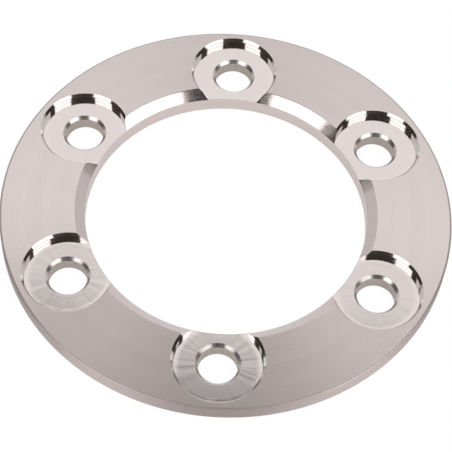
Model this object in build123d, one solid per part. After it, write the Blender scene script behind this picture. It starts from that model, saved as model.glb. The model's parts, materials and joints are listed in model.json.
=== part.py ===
"""Flat turned flange ring with six counterbored screw holes and a bevelled bore.

The ring lies on its underside: +Z is its axis, out of the counterbored face, and
one screw hole is on +Y. The origin is the centre of the underside. All lengths
are in millimetres.
"""

from build123d import *
import os

# ---- ring, laid out from the bolt circle that it shares with its mating flange --
BOLT_CIRCLE_DIAMETER = 58.7
BORE_SETBACK = 5.45  # from the bolt circle in to the bore, which is 47.8 across
RIM_SETBACK = 8.75  # from the bolt circle out to the rim, which is 76.2 across
THICKNESS = 4.1
BEVEL_WIDTH = 1.7  # radial width of the bevel round the mouth of the bore
RIM_CHAMFER = 0.3  # 45 degree edge break round the top of the rim
UNDERSIDE_CHAMFER = 1.4  # 45 degree chamfer round the bottom of the rim

# ---- screw holes ------------------------------------------------------------
SCREW_COUNT = 6
FIRST_SCREW_ANGLE = 90.0  # degrees from +X
HOLE_DIAMETER = 6.5  # passes an M6 screw
HOLE_CHAMFER = 0.5  # 45 degree chamfer where the hole meets its seat

# ---- counterbores, the flat seats under the screw heads -----------------------
SEAT_DIAMETER = 14.4
SEAT_DEPTH = 1.4
SEAT_CHAMFER = 0.4  # 45 degree edge break round the mouth of a counterbore

# ---- levels and radii that follow ---------------------------------------------
bolt_circle_radius = BOLT_CIRCLE_DIAMETER / 2
bore_radius = bolt_circle_radius - BORE_SETBACK
outer_radius = bolt_circle_radius + RIM_SETBACK
hole_radius = HOLE_DIAMETER / 2
seat_radius = SEAT_DIAMETER / 2
seat_level = THICKNESS - SEAT_DEPTH  # the bevel runs down to the seats' level too
tool_overrun = THICKNESS / 2  # how far the cutter reaches past both faces


def turned(section):
    """Revolve a closed outline of (radius, height) points about Z."""
    outline = Polyline(*[(radius, 0, height) for radius, height in section], close=True)
    return revolve(make_face(outline), Axis.Z)


def ring_blank():
    """The ring as it leaves the lathe, before the screw holes."""
    return turned(
        [
            (bore_radius, 0),
            (outer_radius - UNDERSIDE_CHAMFER, 0),
            (outer_radius, UNDERSIDE_CHAMFER),
            (outer_radius, THICKNESS - RIM_CHAMFER),
            (outer_radius - RIM_CHAMFER, THICKNESS),
            (bore_radius + BEVEL_WIDTH, THICKNESS),
            (bore_radius, seat_level),
        ]
    )


def stepped_cutter():
    """What one screw hole takes away: hole, chamfer, seat, wall and edge break."""
    return turned(
        [
            (0, -tool_overrun),
            (hole_radius, -tool_overrun),
            (hole_radius, seat_level - HOLE_CHAMFER),
            (hole_radius + HOLE_CHAMFER, seat_level),
            (seat_radius, seat_level),
            (seat_radius, THICKNESS - SEAT_CHAMFER),
            (seat_radius + SEAT_CHAMFER + tool_overrun, THICKNESS + tool_overrun),
            (0, THICKNESS + tool_overrun),
        ]
    )


def flange_ring():
    """The blank with the stepped cutter sunk at each place on the bolt circle.

    The seats reach past the bore, so each counterbore breaks out through the
    bevel and its floor runs into the bore's wall.
    """
    places = PolarLocations(bolt_circle_radius, SCREW_COUNT, start_angle=FIRST_SCREW_ANGLE)
    cutter = stepped_cutter()
    return ring_blank() - [place * cutter for place in places]


def main():
    os.makedirs("parts", exist_ok=True)
    export_step(flange_ring(), "parts/flange_ring.step")


if __name__ == "__main__":
    main()
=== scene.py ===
"""Counterbored flange ring: the finished ring, its steel finishes and its stage."""

import json
import math

import bmesh
import bpy
from mathutils import Matrix, Vector


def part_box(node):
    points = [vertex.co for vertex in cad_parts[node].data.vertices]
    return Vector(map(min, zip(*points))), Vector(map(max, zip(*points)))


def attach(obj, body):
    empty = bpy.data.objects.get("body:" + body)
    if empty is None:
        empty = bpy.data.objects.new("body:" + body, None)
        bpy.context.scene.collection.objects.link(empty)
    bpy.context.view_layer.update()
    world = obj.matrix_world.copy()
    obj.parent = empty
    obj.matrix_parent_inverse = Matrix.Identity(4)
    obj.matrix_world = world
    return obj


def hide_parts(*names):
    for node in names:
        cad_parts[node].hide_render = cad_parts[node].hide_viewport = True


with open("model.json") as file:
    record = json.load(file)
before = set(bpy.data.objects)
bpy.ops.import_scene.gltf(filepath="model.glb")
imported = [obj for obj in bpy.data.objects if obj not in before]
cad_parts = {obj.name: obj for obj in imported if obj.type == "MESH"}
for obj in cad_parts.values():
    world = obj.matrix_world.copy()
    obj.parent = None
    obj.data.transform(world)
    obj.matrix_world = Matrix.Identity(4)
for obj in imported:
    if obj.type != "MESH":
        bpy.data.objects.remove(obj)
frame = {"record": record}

bl_info = {
    "name": "Counterbored flange ring",
    "version": (1, 0, 0),
    "blender": (4, 5, 0),
    "location": "3D View > Sidebar > Flange Ring",
    "description": "Turns a counterbored flange ring, finishes its steel and sets its stage",
    "category": "Add Mesh",
}

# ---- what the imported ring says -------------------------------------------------
CAD_NODE = "flange_ring"
CAD_BODY = "root"
CAD_LOW, CAD_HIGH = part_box(CAD_NODE)
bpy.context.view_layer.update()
MOUNTS = {mount["name"]: mount["dims"] for mount in frame["record"]["mounts"]}
MM = 0.001

OUTER_RADIUS = CAD_HIGH.x
THICKNESS = CAD_HIGH.z
BORE_RADIUS = MOUNTS["centre_bore"]["r_mm"] * MM
SEAT_LEVEL = MOUNTS["centre_bore"]["length_mm"] * MM  # the bevel's foot is there too
BOLT_CIRCLE_RADIUS = MOUNTS["screw_holes"]["pcd_mm"] * MM / 2
SCREW_COUNT = MOUNTS["screw_holes"]["count"]
HOLE_RADIUS = MOUNTS["screw_holes"]["hole_r_mm"] * MM
FIRST_SCREW_ANGLE = math.radians(90)
WHOLE_TURN = 2 * math.pi

# ---- material slots of the ring, in the order of its mesh ----------------------
(
    TURNED_FACE,
    BRIGHT_SEAT,
    POLISHED_EDGE,
    BORED_WALL,
    TURNED_RIM,
    TURNED_BEVEL,
    DRILLED_HOLE,
    RIM_EDGE,
    HOLE_CHAMFER,
) = range(9)

# ---- turning feeds, in millimetres for each turn of the ring -------------------
FACE_FEED = 0.3
BORE_FEED = 0.13
RIM_FEED = 0.2

# ---- how faces and edges are told apart ----------------------------------------
NEAR = MM / 100  # a face or edge this close to a place lies there
DOUBLE = MM / 10000  # points this close are one point
SOFT_TURN = math.radians(12)  # a turned outline is eased where it turns more than this
SHARP_TURN = math.radians(32)  # the shading breaks where faces turn more than this
FLAT = 0.999  # a level face's normal points up or down more than this
UPRIGHT = 0.02  # and an upright wall's less than this
SLOPING = 0.3  # and a chamfer's more than this
CUT_EDGE_SHARE = 0.4  # edges of the holes are eased this much of what turned edges are

# ---- stage ---------------------------------------------------------------------
SENSOR_WIDTH = 36  # millimetres
PANEL_DISTANCE = 0.9  # metres from the ring, as the next two
BACK_CARD_DISTANCE = 0.8
CARD_DISTANCE = 0.7
CARD_TINT = (1, 0.82, 0.76)  # the dark cards are brown rather than black
FLOOR_HALF_WIDTH = 3.0  # metres
FLOOR_GAP = 0.02 * MM  # between the floor and the ring
FLOOR_GREY = 0.82
FLOOR_WHITE = 1.04
FLOOR_SEEN_WHITE = 0.92  # share of plain white in the floor as the camera sees it
FLOOR_MIRRORED_WHITE = 0.4  # and as the steel mirrors it

# Corners of the panels and cards, as degrees round from the camera's side and up from the floor.
SOFT_PANELS = {
    "soft_panel_left": [
        (-8, 24), (-12, 33), (-30, 56), (-45, 66), (-112, 68), (-94, 56), (-74, 38), (-76, 21), (-45, 28)
    ],
    "soft_panel_right": [
        (8, 24), (45, 28), (84, 21), (85, 38), (101, 56), (112, 68), (49, 66), (34, 56), (12, 33)
    ],
}
DARK_CARDS = {
    "front_card_low": [(-14, 6), (20, 6), (30, 28), (31, 32), (35, 40), (-20, 40), (-26, 32), (-26, 28)],
    "front_card_high": [(-20, 40), (35, 40), (37, 47), (41, 56), (58, 66), (-52, 66), (-34, 56), (-27, 47)],
    "top_card": [
        (-52, 66), (58, 66), (90, 67.5), (125, 67), (146.5, 60), (180, 65.2),
        (-172, 64.4), (-164, 62.0), (-150, 57.3), (-125, 67), (-90, 67.5),
    ],
    "side_card_left": [
        (-63, 38), (-72, 43), (-80, 50), (-91, 57), (-102, 66), (-125, 67), (-118, 56), (-116, 40)
    ],
    "side_card_right": [(82, 38), (116, 40), (118, 56), (125, 67), (106, 66), (99, 56), (88, 48)],
    "low_side_card_left": [(-62, 6), (-62, 21), (-62, 30), (-63, 38), (-108, 39.7), (-107, 6)],
    "low_side_card_right": [(76, 6), (107, 4.5), (108, 39.5), (82, 38), (78, 23)],
}
GREY_CARDS = {
    "grey_side_card_left": [(-107, 6), (-108, 39.7), (-116, 40), (-114, 21), (-113, 6)],
    "grey_side_card_right": [(107, 4.5), (113, 4), (114, 21), (116, 40), (108, 39.5)],
}
PALE_CARDS = {
    "back_card_right": [(113, 3), (180, 3), (180, 24), (115, 24)],
    "back_card_left": [(-180, 3), (-113, 3), (-115, 24), (-180, 24)],
}


# ---- what a user may change ----------------------------------------------------
def length(name, description, millimetres):
    return bpy.props.FloatProperty(
        name=name, description=description, default=millimetres * MM, min=0, unit="LENGTH", precision=5
    )


def turn(name, description, degrees):
    return bpy.props.FloatProperty(
        name=name, description=description, default=math.radians(degrees), subtype="ANGLE"
    )


def steel_colour(name, description, default):
    return bpy.props.FloatVectorProperty(
        name=name, description=description, default=default, min=0, max=1, size=3, subtype="COLOR"
    )


def level(name, description, default):
    return bpy.props.FloatProperty(name=name, description=description, default=default, min=0, max=10)


class FLANGE_PG_ring(bpy.types.PropertyGroup):
    """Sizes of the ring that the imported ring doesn't state"""

    bevel_width: length("Bevel width", "Radial width of the bevel round the bore", 1.7)
    rim_chamfer: length("Rim chamfer", "Width of the edge break round the top of the rim", 0.3)
    rim_drop: length("Rim chamfer drop", "Height of the edge break round the top of the rim", 0.18)
    underside_chamfer: length("Underside chamfer", "Chamfer round the bottom of the rim", 1.4)
    seat_radius: length("Seat radius", "Radius of a counterbore", 7.2)
    seat_chamfer: length("Seat chamfer", "Edge break round the mouth of a counterbore", 0.4)
    hole_chamfer: length("Hole chamfer", "Chamfer where a hole meets its seat", 0.5)
    seat_corner: length("Seat corner", "Tool radius between a seat and its wall", 0.03)
    edge_round: length("Edge round", "Rounding left on every turned edge", 0.05)
    ring_steps: bpy.props.IntProperty(
        name="Ring steps", description="Steps round the ring", default=720, min=48
    )
    hole_steps: bpy.props.IntProperty(
        name="Hole steps", description="Steps round each hole", default=240, min=24
    )


class FLANGE_PG_steel(bpy.types.PropertyGroup):
    """Colours of the steel, one for each way it was worked; the drilled hole's darker colour also holds
    painted shade.
    """

    face: steel_colour("Turned face", "Colour of the top and the underside", (0.75, 0.67, 0.648))
    seat: steel_colour("Bright seat", "Colour of the seats", (0.785, 0.712, 0.70))
    polish: steel_colour("Polished edge", "Colour of the seats' walls and the chamfers", (0.75, 0.705, 0.69))
    bevel: steel_colour("Turned bevel", "Colour of the bevel round the bore", (0.72, 0.635, 0.625))
    bore: steel_colour("Bored wall", "Colour of the bore", (0.785, 0.688, 0.667))
    # Darker and browner than the rest: partly the drilled finish, partly painted shade inside the holes.
    hole: steel_colour("Drilled hole", "Colour of the walls of the screw holes", (0.53, 0.46, 0.425))
    rim: steel_colour("Turned rim", "Colour of the outside and its edge break", (0.605, 0.527, 0.51))


class FLANGE_PG_stage(bpy.types.PropertyGroup):
    """The camera's place and the brightness of what the steel mirrors"""

    lens: bpy.props.FloatProperty(name="Lens", description="Focal length in millimetres", default=122.255)
    azimuth: turn("Azimuth", "Camera's turn round the ring", -0.821)
    elevation: turn("Elevation", "Camera's height above the floor", 56.627)
    roll: turn("Roll", "Camera's tilt to one side", 4.0748)
    distance: length("Distance", "From the camera to the point it aims at", 261.742)
    aim: bpy.props.FloatVectorProperty(
        name="Aim",
        description="Point the camera aims at",
        default=(0.0001165, -0.0012708, 0),
        size=3,
        unit="LENGTH",
    )
    panel_strength: level("Soft panels", "Brightness of the two soft panels", 2.1)
    surround: level("Surround", "Brightness of the pale surround in the steel", 0.97)
    dark_card: level("Dark cards", "Brightness of the dark cards", 0.045)
    grey_card: level("Grey cards", "Brightness of the grey cards low at the sides", 0.45)
    pale_card: level("Pale cards", "Brightness of the pale cards low behind the ring", 0.69)


# ---- shader maths --------------------------------------------------------------
class Reading:
    """A socket's value that adds its Math nodes as expressions use it."""

    def __init__(self, tree, socket):
        self.tree, self.socket = tree, socket

    def math(self, operation, *values):
        """A Math node on readings and numbers, in that order."""
        node = self.tree.nodes.new("ShaderNodeMath")
        node.operation = operation
        for entry, value in zip(node.inputs, values):
            if isinstance(value, Reading):
                self.tree.links.new(value.socket, entry)
            else:
                entry.default_value = value
        return Reading(self.tree, node.outputs[0])

    def __add__(self, other):
        return self.math("ADD", self, other)

    __radd__ = __add__

    def __sub__(self, other):
        return self.math("SUBTRACT", self, other)

    def __rsub__(self, other):
        return self.math("SUBTRACT", other, self)

    def __mul__(self, other):
        return self.math("MULTIPLY", self, other)

    __rmul__ = __mul__

    def __truediv__(self, other):
        return self.math("DIVIDE", self, other)

    def __rtruediv__(self, other):
        return self.math("DIVIDE", other, self)

    def __abs__(self):
        return self.math("ABSOLUTE", self)

    def root(self):
        return self.math("SQRT", self)

    def nearest(self):
        return self.math("ROUND", self)

    def cosine(self):
        return self.math("COSINE", self)

    def sine(self):
        return self.math("SINE", self)

    def direction(self, along):
        """The angle of the point that lies this far across and that far along."""
        return self.math("ARCTAN2", self, along)


class Finish:
    """A node tree under construction."""

    def __init__(self, tree):
        self.tree = tree
        tree.nodes.clear()

    def add(self, kind, settings=None, sockets=None):
        """A node of that type: its settings first, then values or links of its sockets."""
        node = self.tree.nodes.new(kind)
        for name, value in (settings or {}).items():
            setattr(node, name, value)
        for name, value in (sockets or {}).items():
            entry = node.inputs[name]
            if isinstance(value, Reading):
                self.tree.links.new(value.socket, entry)
            elif isinstance(value, bpy.types.NodeSocket):
                self.tree.links.new(value, entry)
            else:
                entry.default_value = value
        return node

    def read(self, node, output=0):
        """One of a node's outputs as a reading."""
        return Reading(self.tree, node.outputs[output])

    def position_mm(self):
        """Object coordinates as three readings, in millimetres."""
        place = self.add("ShaderNodeTexCoord").outputs["Object"]
        parts = self.add("ShaderNodeSeparateXYZ", sockets={0: place})
        return [self.read(parts, axis) / MM for axis in range(3)]

    def noise_line(self, along, scale, detail=2.0, roughness=0.5):
        """Noise that changes along one reading only, from 0 to 1."""
        node = self.add(
            "ShaderNodeTexNoise",
            {"noise_dimensions": "1D"},
            {"W": along, "Scale": scale, "Detail": detail, "Roughness": roughness},
        )
        return self.read(node, "Fac")

    def noise_cloud(self, scale, detail=3.0):
        """Noise through the steel in Object coordinates, from 0 to 1."""
        place = self.add("ShaderNodeTexCoord").outputs["Object"]
        node = self.add(
            "ShaderNodeTexNoise",
            sockets={"Vector": place, "Scale": scale, "Detail": detail, "Roughness": 0.5},
        )
        return self.read(node, "Fac")

    def ridges(self, along, feed):
        """The even waves that a tool leaves at that feed, from -1 to 1."""
        return (along * (WHOLE_TURN / feed)).sine()

    def tint(self, colour, shade, low, high):
        """The colour times a shade that runs from low to high over a 0 to 1 reading."""
        darker = tuple(part * low for part in colour)
        lighter = tuple(min(1.0, part * high) for part in colour)
        mix = self.add("ShaderNodeMix", {"data_type": "RGBA"}, {0: shade, 6: (*darker, 1), 7: (*lighter, 1)})
        return mix.outputs[2]

    def fade(self, reading, start, end):
        """0 where the reading is below start, 1 above end and straight between."""
        node = self.add("ShaderNodeMapRange", sockets={"Value": reading, "From Min": start, "From Max": end})
        return self.read(node)

    def metal(self, colour, roughness, height, depth_mm, anisotropic=0.0):
        """The steel itself, with its marks as deep as that for a height of 1."""
        relief = self.add(
            "ShaderNodeBump", sockets={"Strength": 1.0, "Distance": depth_mm * MM, "Height": height}
        )
        shader = self.add(
            "ShaderNodeBsdfPrincipled",
            sockets={
                "Base Color": colour,
                "Metallic": 1.0,
                "Roughness": roughness,
                "Anisotropic": anisotropic,
                "Anisotropic Rotation": 0.25 if anisotropic else 0.0,
                "Normal": relief.outputs["Normal"],
            },
        )
        self.show(shader)

    def show(self, shader, output="ShaderNodeOutputMaterial"):
        """Makes that shader the surface, or the world's light with the world's output."""
        self.add(output, sockets={"Surface": shader.outputs[0]})


def new_finish(name):
    """A new material and its empty node tree."""
    material = bpy.data.materials.new(name)
    material.use_nodes = True
    return material, Finish(material.node_tree)


def ring_radius(finish):
    """Distance from the ring's axis, in millimetres."""
    x, y, _ = finish.position_mm()
    return (x * x + y * y).root()


def ring_height(finish):
    """Height above the underside, in millimetres."""
    return finish.position_mm()[2]


def hole_place(finish):
    """Distance from the axis of the nearest screw hole, in millimetres, and the angle round it."""
    x, y, _ = finish.position_mm()
    spacing = WHOLE_TURN / SCREW_COUNT
    place = (y.direction(x) - FIRST_SCREW_ANGLE) / spacing
    swing = (place - place.nearest()) * spacing
    radius = (x * x + y * y).root()
    out = radius * swing.cosine() - BOLT_CIRCLE_RADIUS / MM
    across = radius * swing.sine()
    return (out * out + across * across).root(), across.direction(out)


def turned_face_finish(steel):
    """Face turned in the lathe: fine circular tool marks, satin across them."""
    material, finish = new_finish("turned_face")
    radius = ring_radius(finish)
    marks = finish.noise_line(radius, 3.2, 3.0, 0.55)
    passes = finish.noise_line(radius, 0.45, 1.0)
    cloud = finish.noise_cloud(30.0, 3.0)
    colour = finish.tint(steel.face, marks * 0.6 + passes * 0.25 + cloud * 0.15, 0.91, 1.09)
    roughness = 0.29 + (marks - 0.5) * 0.05 + (cloud - 0.5) * 0.03
    height = finish.ridges(radius, FACE_FEED) * 0.35 + marks
    finish.metal(colour, roughness, height, 0.010, anisotropic=0.8)
    return material


def bright_seat_finish(steel):
    """Counterbored seats: bright, with faint rings and fans round each hole, smoother at the wall, and with
    painted shade and more roughness along the lip at the bore.
    """
    material, finish = new_finish("bright_seat")
    radius, angle = hole_place(finish)
    marks = finish.noise_line(radius, 6.0, 2.0, 0.6)
    fans = finish.noise_line(angle, 3.2, 1.5, 0.5)
    passes = finish.noise_line(radius, 1.1, 1.0)
    inner = 1 - finish.fade(radius, 6.0, 6.8)
    # Painted shade along the seat's lip at the bore, which is also made rougher there.
    bore_edge = 1 - finish.fade(ring_radius(finish), BORE_RADIUS / MM + 0.04, BORE_RADIUS / MM + 0.16)
    shade = fans * 0.55 + marks * 0.35 + passes * 0.1 - bore_edge * 2.5
    colour = finish.tint(steel.seat, shade, 0.93, 1.06)
    roughness = 0.07 + inner * 0.11 + (fans - 0.5) * 0.05 + bore_edge * 0.2
    height = (marks - 0.5) * (inner * 0.34 + 0.06) + (fans - 0.5) * inner * 1.2
    finish.metal(colour, roughness, height, 0.016)
    return material


def polished_edge_finish(steel):
    """Walls and chamfers of the seats, cut with a keen tool to a near mirror, with a painted dark reflection
    line along the chamfer's edge and painted shade along the wall's foot.
    """
    material, finish = new_finish("polished_edge")
    _, angle = hole_place(finish)
    z = ring_height(finish)
    marks = finish.noise_line(z, 9.0, 3.0, 0.6)
    streaks = finish.noise_line(angle, 14.0, 3.0, 0.6)
    cloud = finish.noise_cloud(90.0, 4.0)
    # Painted dark reflection: a dark line along the edge where the chamfer meets the wall.
    painted_edge_reflection_line = 1 - finish.fade(abs(z - (THICKNESS / MM - 0.43)), 0.03, 0.09)
    # Painted shade along the foot of the wall, in the corner where it meets the seat.
    painted_foot_shade = 1 - finish.fade(z, SEAT_LEVEL / MM + 0.02, SEAT_LEVEL / MM + 0.12)
    shade = 0.75 + marks * 0.1 + cloud * 0.06 + streaks * 0.14 - painted_edge_reflection_line * 0.7 - painted_foot_shade * 0.45
    colour = finish.tint(steel.polish, shade, 0.2, 1.08)
    roughness = 0.07 + streaks * 0.04 + (cloud - 0.5) * 0.04
    finish.metal(colour, roughness, marks * 0.7 + cloud * 0.3, 0.0006)
    return material


def turned_bevel_finish(steel):
    """Bevel round the bore: nearly a mirror, with torn grain between its tool marks."""
    material, finish = new_finish("turned_bevel")
    marks = finish.noise_line(ring_height(finish), 6.0, 3.0, 0.6)
    grain = finish.noise_cloud(6500.0, 1.0)
    cloud = finish.noise_cloud(90.0, 4.0)
    torn = finish.fade(grain + (cloud - 0.5) * 0.1, 0.42, 0.7)
    colour = finish.tint(steel.bevel, marks * 0.6 + cloud * 0.4, 0.95, 1.04)
    roughness = 0.085 + torn * 0.17 + (marks - 0.5) * 0.04
    finish.metal(colour, roughness, marks * 0.8 + cloud * 0.2, 0.003)
    return material


def hole_chamfer_finish(steel):
    """Chamfers of the screw holes, bright from the countersink with a few chatter marks, and painted shade
    round the lip where they drop into the hole.
    """
    material, finish = new_finish("hole_chamfer")
    radius, angle = hole_place(finish)
    chatter = finish.noise_line(angle, 5.0, 3.0, 0.6)
    cloud = finish.noise_cloud(500.0, 3.0)
    # Painted shade: the chamfer's colour darkens towards the lip of the hole.
    painted_lip_shade = 1 - finish.fade(radius, HOLE_RADIUS / MM + 0.02, HOLE_RADIUS / MM + 0.14)
    shade = 0.62 + chatter * 0.3 + cloud * 0.16 - painted_lip_shade * 0.35
    colour = finish.tint(steel.polish, shade, 0.42, 1.1)
    roughness = 0.2 + chatter * 0.1 + (cloud - 0.5) * 0.06
    finish.metal(colour, roughness, (chatter - 0.5) * 0.7 + (cloud - 0.5) * 0.3, 0.006)
    return material


def drilled_hole_finish(steel):
    """Walls of the screw holes, as a drill leaves them, in a darker colour that is partly the drilled finish
    and partly painted shade inside the holes.
    """
    material, finish = new_finish("drilled_hole")
    _, angle = hole_place(finish)
    marks = finish.noise_line(ring_height(finish), 9.0, 3.0, 0.6)
    streaks = finish.noise_line(angle, 3.5, 3.0, 0.6)
    cloud = finish.noise_cloud(400.0, 4.0)
    # The hole colour's darkness is partly painted shade inside the holes.
    colour = finish.tint(steel.hole, marks * 0.2 + streaks * 0.5 + cloud * 0.3, 0.72, 1.28)
    roughness = 0.3 + (marks - 0.5) * 0.08 + (cloud - 0.5) * 0.08
    finish.metal(colour, roughness, marks * 0.6 + cloud * 0.4, 0.005)
    return material


def rim_edge_finish(steel):
    """Edge break round the top of the rim, satin from an abrasive cloth."""
    material, finish = new_finish("rim_edge")
    marks = finish.noise_cloud(1500.0, 3.0)
    cloud = finish.noise_cloud(60.0, 3.0)
    colour = finish.tint(steel.rim, marks * 0.5 + cloud * 0.5, 0.76, 0.9)
    roughness = 0.46 + (marks - 0.5) * 0.12 + (cloud - 0.5) * 0.08
    finish.metal(colour, roughness, marks, 0.003)
    return material


def bored_wall_finish(steel):
    """Bore of the ring, with tool marks that run round it."""
    material, finish = new_finish("bored_wall")
    z = ring_height(finish)
    marks = finish.noise_line(z, 7.0, 4.0, 0.6)
    cloud = finish.noise_cloud(55.0, 4.0)
    colour = finish.tint(steel.bore, marks * 0.6 + cloud * 0.4, 0.93, 1.06)
    roughness = 0.24 + (marks - 0.5) * 0.08 + (cloud - 0.5) * 0.05
    height = marks * 0.8 + finish.ridges(z, BORE_FEED) * 0.08
    finish.metal(colour, roughness, height, 0.005, anisotropic=0.5)
    return material


def turned_rim_finish(steel):
    """Outside of the ring, turned with a coarser feed than the bore."""
    material, finish = new_finish("turned_rim")
    z = ring_height(finish)
    marks = finish.noise_line(z, 5.0, 4.0, 0.6)
    cloud = finish.noise_cloud(50.0, 4.0)
    colour = finish.tint(steel.rim, marks * 0.6 + cloud * 0.4, 0.92, 1.05)
    roughness = 0.54 + (marks - 0.5) * 0.10 + (cloud - 0.5) * 0.05
    height = marks * 0.8 + finish.ridges(z, RIM_FEED) * 0.1
    finish.metal(colour, roughness, height, 0.012, anisotropic=0.9)
    return material


# ---- turning -------------------------------------------------------------------
def turned(outline, steps, closed):
    """A shell spun about Z from an outline of (radius, height) points."""
    shell = bmesh.new()
    corners = [shell.verts.new((radius, 0, height)) for radius, height in outline]
    partners = corners[1:] + corners[:1] if closed else corners[1:]
    lines = [shell.edges.new(pair) for pair in zip(corners, partners)]
    bmesh.ops.spin(
        shell,
        geom=corners + lines,
        cent=(0, 0, 0),
        axis=(0, 0, 1),
        angle=WHOLE_TURN,
        steps=steps,
        use_merge=True,
        use_duplicate=False,
    )
    bmesh.ops.remove_doubles(shell, verts=shell.verts[:], dist=DOUBLE)
    bmesh.ops.recalc_face_normals(shell, faces=shell.faces[:])
    return shell


def round_corners(shell, radius, segments, chosen):
    """Rounds the circular edges that chosen(radius, height) picks."""
    corners = [
        edge
        for edge in shell.edges
        if len(edge.link_faces) == 2
        and edge.calc_face_angle(0) > SOFT_TURN
        and chosen(edge.verts[0].co.xy.length, edge.verts[0].co.z)
    ]
    rounded = bmesh.ops.bevel(
        shell,
        geom=corners,
        offset=radius,
        offset_type="OFFSET",
        segments=segments,
        profile=0.5,
        affect="EDGES",
        material=-1,
        clamp_overlap=True,
    )["faces"]
    inside = set(rounded)
    for face in rounded:
        for edge in face.edges:
            edge.smooth = inside.issuperset(edge.link_faces)


def shell_object(shell, name, materials):
    """An object at the origin from a shell, which is freed."""
    mesh = bpy.data.meshes.new(name)
    shell.to_mesh(mesh)
    shell.free()
    for material in materials:
        mesh.materials.append(material)
    made = bpy.data.objects.new(name, mesh)
    bpy.context.scene.collection.objects.link(made)
    return made


def clean_cut_edges(mesh):
    """Merges the doubles that a cut left, and keeps the shading crisp at its edges."""
    shell = bmesh.new()
    shell.from_mesh(mesh)
    bmesh.ops.remove_doubles(shell, verts=shell.verts[:], dist=DOUBLE)
    for edge in shell.edges:
        if edge.calc_face_angle(0) > SHARP_TURN:
            edge.smooth = False
    shell.to_mesh(mesh)
    shell.free()


def ring_blank(sizes):
    """The ring before its screw holes, with every turned edge eased."""
    bevel_edge = BORE_RADIUS + sizes.bevel_width
    blank = turned(
        [
            (BORE_RADIUS, 0),
            (OUTER_RADIUS - sizes.underside_chamfer, 0),
            (OUTER_RADIUS, sizes.underside_chamfer),
            (OUTER_RADIUS, THICKNESS - sizes.rim_drop),
            (OUTER_RADIUS - sizes.rim_chamfer, THICKNESS),
            (bevel_edge, THICKNESS),
            (BORE_RADIUS, SEAT_LEVEL),
        ],
        sizes.ring_steps,
        closed=True,
    )
    round_corners(blank, sizes.edge_round, 3, lambda radius, height: True)
    for face in blank.faces:
        centre, upward = face.calc_center_median(), abs(face.normal.z)
        radius = centre.xy.length
        if upward > FLAT:
            face.material_index = TURNED_FACE
        elif upward < UPRIGHT:
            face.material_index = BORED_WALL if radius < bevel_edge else TURNED_RIM
        elif centre.z < sizes.underside_chamfer:
            face.material_index = TURNED_RIM
        else:
            face.material_index = TURNED_BEVEL if radius < bevel_edge + sizes.edge_round else RIM_EDGE
        face.smooth = True
    return blank


def stepped_cutters(sizes):
    """What the screw holes take away, all six in one shell."""
    overrun = THICKNESS / 2
    seat, hole, corner = sizes.seat_radius, HOLE_RADIUS, sizes.seat_corner
    mouth = seat + sizes.seat_chamfer + overrun

    def seat_foot(radius, height):
        return abs(radius - seat) < NEAR and height < SEAT_LEVEL + NEAR

    def chamfer_edge(radius, height):
        in_corner = seat - corner * 1.5 < radius and height < SEAT_LEVEL + corner * 1.5
        return hole - NEAR < radius < seat + NEAR and 0 < height < THICKNESS and not in_corner

    cutter = turned(
        [
            (0, -overrun),
            (hole, -overrun),
            (hole, SEAT_LEVEL - sizes.hole_chamfer),
            (hole + sizes.hole_chamfer, SEAT_LEVEL),
            (seat, SEAT_LEVEL),
            (seat, THICKNESS - sizes.seat_chamfer),
            (mouth, THICKNESS + overrun),
            (0, THICKNESS + overrun),
        ],
        sizes.hole_steps,
        closed=False,
    )
    round_corners(cutter, corner, 4, seat_foot)
    round_corners(cutter, sizes.edge_round * CUT_EDGE_SHARE, 2, chamfer_edge)
    for face in cutter.faces:
        centre, upward = face.calc_center_median(), abs(face.normal.z)
        radius = centre.xy.length
        if upward > FLAT and abs(centre.z - SEAT_LEVEL) < NEAR:
            face.material_index = BRIGHT_SEAT
        elif radius < hole + sizes.hole_chamfer + sizes.edge_round:
            face.material_index = HOLE_CHAMFER if upward > SLOPING else DRILLED_HOLE
        else:
            face.material_index = POLISHED_EDGE
        face.smooth = True
    one = cutter.verts[:] + cutter.edges[:] + cutter.faces[:]
    bmesh.ops.translate(cutter, verts=cutter.verts[:], vec=(0, BOLT_CIRCLE_RADIUS, 0))
    for place in range(1, SCREW_COUNT):
        copy = bmesh.ops.duplicate(cutter, geom=one)["geom"]
        bmesh.ops.rotate(
            cutter,
            verts=[part for part in copy if isinstance(part, bmesh.types.BMVert)],
            cent=(0, 0, 0),
            matrix=Matrix.Rotation(place * WHOLE_TURN / SCREW_COUNT, 3, "Z"),
        )
    return cutter


class FLANGE_OT_make_ring(bpy.types.Operator):
    """Turn the ring, sink its counterbored holes and give every surface its finish"""

    bl_idname = "flange.make_ring"
    bl_label = "Make Ring"

    def execute(self, context):
        sizes, steel = context.scene.flange_ring, context.scene.flange_steel
        materials = [
            turned_face_finish(steel),
            bright_seat_finish(steel),
            polished_edge_finish(steel),
            bored_wall_finish(steel),
            turned_rim_finish(steel),
            turned_bevel_finish(steel),
            drilled_hole_finish(steel),
            rim_edge_finish(steel),
            hole_chamfer_finish(steel),
        ]
        ring = shell_object(ring_blank(sizes), "counterbored_ring", materials)
        cutters = shell_object(stepped_cutters(sizes), "stepped_cutters", materials)
        cut = ring.modifiers.new("screw_holes", "BOOLEAN")
        cut.operation, cut.solver, cut.object = "DIFFERENCE", "EXACT", cutters
        cut.material_mode = "INDEX"
        evaluated = ring.evaluated_get(context.evaluated_depsgraph_get())
        finished = bpy.data.meshes.new_from_object(evaluated)
        ring.modifiers.clear()
        ring.data = finished
        bpy.data.objects.remove(cutters)
        if len(finished.polygons) < sizes.ring_steps * 4:
            raise RuntimeError("the screw holes weren't cut")
        clean_cut_edges(finished)
        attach(ring, CAD_BODY)
        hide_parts(CAD_NODE)
        return {"FINISHED"}


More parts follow.
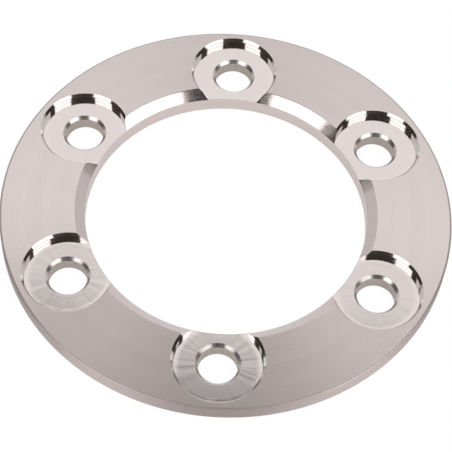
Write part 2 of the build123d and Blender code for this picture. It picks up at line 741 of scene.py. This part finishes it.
# ---- stage ---------------------------------------------------------------------
def toward(azimuth, elevation, distance):
    """A point seen from the ring at degrees from the camera's side and above the floor."""
    around, up = math.radians(azimuth), math.radians(elevation)
    return distance * Vector(
        (math.cos(up) * math.sin(around), -math.cos(up) * math.cos(around), math.sin(up))
    )


def glow_finish(name, strength, colour=(1, 1, 1)):
    """Plain light, as a soft panel or a card gives it off."""
    material, finish = new_finish(name)
    finish.show(finish.add("ShaderNodeEmission", sockets={"Color": (*colour, 1), "Strength": strength}))
    return material


def card(name, corners, material, distance):
    """A studio card through those directions, which the steel mirrors and the camera doesn't see."""
    sheet = bmesh.new()
    sheet.faces.new([sheet.verts.new(toward(azimuth, elevation, distance)) for azimuth, elevation in corners])
    made = shell_object(sheet, name, [material])
    made.visible_camera = False
    made.visible_shadow = False
    return made


class FLANGE_OT_set_stage(bpy.types.Operator):
    """Lay the floor, set the soft panels and cards, and place the camera"""

    bl_idname = "flange.set_stage"
    bl_label = "Set Stage"

    def execute(self, context):
        stage = context.scene.flange_stage
        self.lay_floor()
        self.set_panels(stage)
        self.set_world(context, stage)
        self.place_camera(context, stage)
        context.scene.view_settings.view_transform = "Standard"
        return {"FINISHED"}

    def lay_floor(self):
        floor = bmesh.new()
        bmesh.ops.create_grid(floor, x_segments=1, y_segments=1, size=FLOOR_HALF_WIDTH)
        bmesh.ops.translate(floor, verts=floor.verts[:], vec=(0, 0, CAD_LOW.z - FLOOR_GAP))
        material, finish = new_finish("pale_floor")
        matt = finish.add("ShaderNodeBsdfDiffuse", sockets={"Color": (FLOOR_GREY, FLOOR_GREY, FLOOR_GREY, 1)})
        white = finish.add("ShaderNodeEmission", sockets={"Color": (1, 1, 1, 1), "Strength": FLOOR_WHITE})
        rays = finish.add("ShaderNodeLightPath")
        mirrored_ray = finish.read(rays, "Is Glossy Ray") + finish.read(rays, "Is Transmission Ray")
        seen = finish.read(rays, "Is Camera Ray") * FLOOR_SEEN_WHITE + mirrored_ray * FLOOR_MIRRORED_WHITE
        top = finish.add("ShaderNodeMixShader", sockets={0: seen, 1: matt.outputs[0], 2: white.outputs[0]})
        # From below the floor is clear, so the underside of the ring can be looked at.
        below = finish.read(finish.add("ShaderNodeNewGeometry"), "Backfacing")
        clear = finish.add("ShaderNodeBsdfTransparent")
        sides = {0: below, 1: top.outputs[0], 2: clear.outputs[0]}
        finish.show(finish.add("ShaderNodeMixShader", sockets=sides))
        shell_object(floor, "floor", [material])

    def set_panels(self, stage):
        glow = glow_finish("soft_panel", stage.panel_strength)
        dark = glow_finish("dark_card", stage.dark_card, CARD_TINT)
        grey = glow_finish("grey_card", stage.grey_card)
        pale = glow_finish("pale_card", stage.pale_card)
        for cards, material, distance in (
            (SOFT_PANELS, glow, PANEL_DISTANCE),
            (DARK_CARDS, dark, CARD_DISTANCE),
            (GREY_CARDS, grey, CARD_DISTANCE),
            (PALE_CARDS, pale, BACK_CARD_DISTANCE),
        ):
            for name, corners in cards.items():
                card(name, corners, material, distance)

    def set_world(self, context, stage):
        world = bpy.data.worlds.new("studio_surround")
        context.scene.world = world
        world.use_nodes = True
        finish = Finish(world.node_tree)
        rays = finish.add("ShaderNodeLightPath")
        strength = finish.read(rays, "Is Camera Ray") * (1.0 - stage.surround) + stage.surround
        light = finish.add("ShaderNodeBackground", sockets={"Color": (1, 1, 1, 1), "Strength": strength})
        finish.show(light, "ShaderNodeOutputWorld")

    def place_camera(self, context, stage):
        data = bpy.data.cameras.new("studio_camera")
        data.lens, data.sensor_width = stage.lens, SENSOR_WIDTH
        data.clip_start, data.clip_end = 0.01, 20
        camera = bpy.data.objects.new("studio_camera", data)
        aim = Vector(stage.aim)
        back = toward(math.degrees(stage.azimuth), math.degrees(stage.elevation), 1)
        camera.location = aim + back * stage.distance
        upright = (-back).to_track_quat("-Z", "Y").to_matrix()
        camera.rotation_euler = (upright @ Matrix.Rotation(stage.roll, 3, "Z")).to_euler()
        context.scene.collection.objects.link(camera)
        context.scene.camera = camera


class FLANGE_PT_panel(bpy.types.Panel):
    """Makes the ring and its stage, and lists their sizes and colours"""

    bl_idname = "FLANGE_PT_panel"
    bl_label = "Flange Ring"
    bl_space_type = "VIEW_3D"
    bl_region_type = "UI"
    bl_category = "Flange Ring"

    def draw(self, context):
        column = self.layout.column()
        column.operator(FLANGE_OT_make_ring.bl_idname)
        column.operator(FLANGE_OT_set_stage.bl_idname)
        for group in (context.scene.flange_ring, context.scene.flange_steel, context.scene.flange_stage):
            for name in group.__annotations__:
                column.prop(group, name)


CLASSES = (
    FLANGE_PG_ring,
    FLANGE_PG_steel,
    FLANGE_PG_stage,
    FLANGE_OT_make_ring,
    FLANGE_OT_set_stage,
    FLANGE_PT_panel,
)


def register():
    for made in CLASSES:
        bpy.utils.register_class(made)
    bpy.types.Scene.flange_ring = bpy.props.PointerProperty(type=FLANGE_PG_ring)
    bpy.types.Scene.flange_steel = bpy.props.PointerProperty(type=FLANGE_PG_steel)
    bpy.types.Scene.flange_stage = bpy.props.PointerProperty(type=FLANGE_PG_stage)


def unregister():
    del bpy.types.Scene.flange_stage, bpy.types.Scene.flange_steel, bpy.types.Scene.flange_ring
    for made in reversed(CLASSES):
        bpy.utils.unregister_class(made)


def main():
    register()
    bpy.ops.flange.make_ring()
    bpy.ops.flange.set_stage()


if __name__ == "__main__":
    main()
